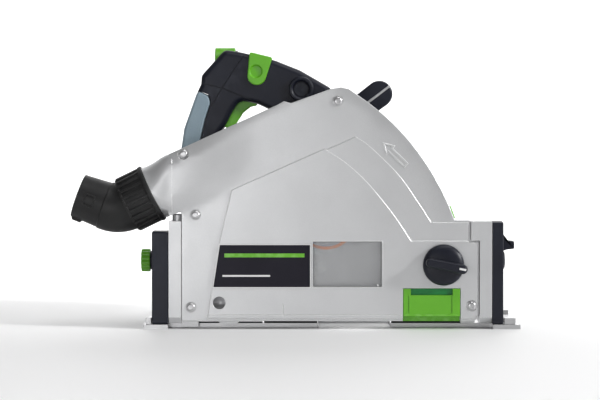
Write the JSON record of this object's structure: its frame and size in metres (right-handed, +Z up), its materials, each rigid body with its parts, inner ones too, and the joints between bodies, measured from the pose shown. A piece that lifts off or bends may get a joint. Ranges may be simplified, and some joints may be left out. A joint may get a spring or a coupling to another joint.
{
  "type": "track plunge saw",
  "caption": "Circular saw that plunges through a tilting blade guard on a flat sole, with a rear D-handle, front bar handle and swivelling dust port.",
  "frame": {"origin": "middle of the sole plate's underside", "axes": "+X forward along the cut, +Z up from the sole, -Y towards the blade cover side"},
  "size_m": [0.396, 0.2024, 0.2488],
  "materials": {
    "silver_paint": "satin silver paint",
    "black_plastic": "fine grained moulding",
    "dark_label": "printed film",
    "green_plastic": "satin moulding",
    "grip_rubber": "soft grip",
    "port_plastic": "matte moulding",
    "bare_steel": "ground",
    "aluminium": "bright",
    "die_cast": "cast",
    "clear_plastic": "clear pane",
    "copper": "wound wire"
  },
  "bodies": {
    "base": {"base_plate": "bare_steel", "front_tilt_segment": "black_plastic", "rear_tilt_segment": "black_plastic"},
    "front_adjuster": {"front_adjuster": "green_plastic"},
    "rear_adjuster": {"rear_adjuster": "green_plastic"},
    "carriage": {"guard_casting": "silver_paint", "guard_cover": "silver_paint", "cover_screw_1": "bare_steel", "cover_screw_2": "bare_steel", "cover_screw_3": "bare_steel", "cover_screw_4": "bare_steel", "cover_screw_5": "bare_steel", "label_plate": "dark_label", "sight_window": "clear_plastic", "dust_duct": "silver_paint", "front_bracket": "silver_paint", "rear_bracket": "silver_paint", "front_clamp_bolt": "bare_steel", "rear_clamp_bolt": "bare_steel", "pivot_pin": "bare_steel", "pivot_nut": "bare_steel", "plunge_spring": "bare_steel", "depth_scale": "black_plastic"},
    "front_clamp": {"front_tilt_lever": "black_plastic"},
    "rear_clamp": {"rear_tilt_knob": "green_plastic"},
    "splinter_slide": {"splinter_guard": "green_plastic"},
    "splinter_clamp": {"splinter_guard_knob": "black_plastic"},
    "dust_port": {"dust_collar": "port_plastic", "dust_elbow": "port_plastic"},
    "depth_setting": {"depth_stop": "green_plastic"},
    "saw_unit": {"gear_housing": "die_cast", "motor_housing": "black_plastic", "motor_end_cap": "black_plastic", "handle_shell_near": "black_plastic", "handle_shell_far": "black_plastic", "handle_grip": "grip_rubber", "front_handle_upper": "black_plastic", "front_handle_lower": "black_plastic", "front_handle_strip": "aluminium", "power_inlet": "black_plastic", "inlet_collar": "green_plastic", "riving_knife": "bare_steel", "stator": "copper", "switch_module": "black_plastic", "arbor_bearing": "bare_steel", "motor_bearing": "bare_steel"},
    "arbor_line": {"arbor": "bare_steel", "saw_blade": "bare_steel", "inner_flange": "bare_steel", "outer_flange": "bare_steel", "arbor_screw": "bare_steel", "arbor_gear": "bare_steel"},
    "motor_line": {"rotor": "bare_steel", "rotor_pinion": "bare_steel", "fan": "green_plastic"},
    "trigger_link": {"trigger": "green_plastic"},
    "release_slide": {"plunge_release": "green_plastic"},
    "tool_lever": {"tool_change_lever": "black_plastic"},
    "speed_control": {"speed_dial": "green_plastic"}
  },
  "joints": [
    {"name": "bevel_tilt", "type": "hinge", "parent": "base", "child": "carriage", "pos_m": [0, -0.084, -0.005], "axis": [1, 0, 0], "range_deg": [-1, 47]},
    {"name": "front_cam_turn", "type": "hinge", "parent": "base", "child": "front_adjuster", "pos_m": [0.152, 0.026, 0], "axis": [0, 0, 1], "range_deg": [-60, 60]},
    {"name": "rear_cam_turn", "type": "hinge", "parent": "base", "child": "rear_adjuster", "pos_m": [-0.152, 0.026, 0], "axis": [0, 0, 1], "range_deg": [-60, 60]},
    {"name": "front_clamp_turn", "type": "hinge", "parent": "carriage", "child": "front_clamp", "pos_m": [0.15, -0.02846, 0.05668], "axis": [1, 0, 0], "range_deg": [-40, 0]},
    {"name": "rear_clamp_turn", "type": "hinge", "parent": "carriage", "child": "rear_clamp", "pos_m": [-0.157, -0.02846, 0.05668], "axis": [1, 0, 0], "range_deg": [-180, 180]},
    {"name": "splinter_guard_height", "type": "slide", "parent": "carriage", "child": "splinter_slide", "axis": [0, 0, 1], "range_m": [-0.006, 0]},
    {"name": "splinter_knob_turn", "type": "hinge", "parent": "carriage", "child": "splinter_clamp", "pos_m": [0.0973, -0.098, 0.0564], "axis": [0, 1, 0], "range_deg": [-90, 0]},
    {"name": "dust_port_swivel", "type": "hinge", "parent": "carriage", "child": "dust_port", "pos_m": [-0.157, -0.078, 0.1193], "axis": [-0.8988, 0, -0.4384], "continuous": true},
    {"name": "depth_setting_slide", "type": "hinge", "parent": "carriage", "child": "depth_setting", "pos_m": [-0.0986, -0.084, 0.0231], "axis": [0, 1, 0], "range_deg": [-30, 0]},
    {"name": "plunge", "type": "hinge", "parent": "carriage", "child": "saw_unit", "pos_m": [-0.0986, -0.084, 0.0231], "axis": [0, 1, 0], "range_deg": [0, 37.2], "stiffness_Nm_per_rad": 4.5, "springref_deg": -68.75},
    {"name": "arbor_spin", "type": "hinge", "parent": "saw_unit", "child": "arbor_line", "pos_m": [-0.00519, -0.084, 0.0965], "axis": [0, 1, 0], "continuous": true},
    {"name": "motor_spin", "type": "hinge", "parent": "saw_unit", "child": "motor_line", "pos_m": [-0.02108, -0.084, 0.11759], "axis": [0, 1, 0], "continuous": true},
    {"name": "trigger_squeeze", "type": "hinge", "parent": "saw_unit", "child": "trigger_link", "pos_m": [-0.08, -0.034, 0.204], "axis": [0, 1, 0], "range_deg": [0, 8], "stiffness_Nm_per_rad": 0.4, "springref_deg": -17.19},
    {"name": "plunge_release_slide", "type": "slide", "parent": "saw_unit", "child": "release_slide", "axis": [0.9724, 0, -0.2334], "range_m": [0, 0.005], "stiffness_N_per_m": 400, "springref_m": -0.004},
    {"name": "tool_lever_turn", "type": "hinge", "parent": "saw_unit", "child": "tool_lever", "pos_m": [-0.0268, -0.034, 0.2108], "axis": [0, 1, 0], "range_deg": [-60, 0]},
    {"name": "speed_dial_turn", "type": "hinge", "parent": "saw_unit", "child": "speed_control", "pos_m": [-0.02108, 0.083, 0.13759], "axis": [0, 1, 0], "range_deg": [-150, 150]}
  ],
  "couplings": [
    {"joint": "motor_spin", "follows": "arbor_spin", "ratio": -3}
  ]
}
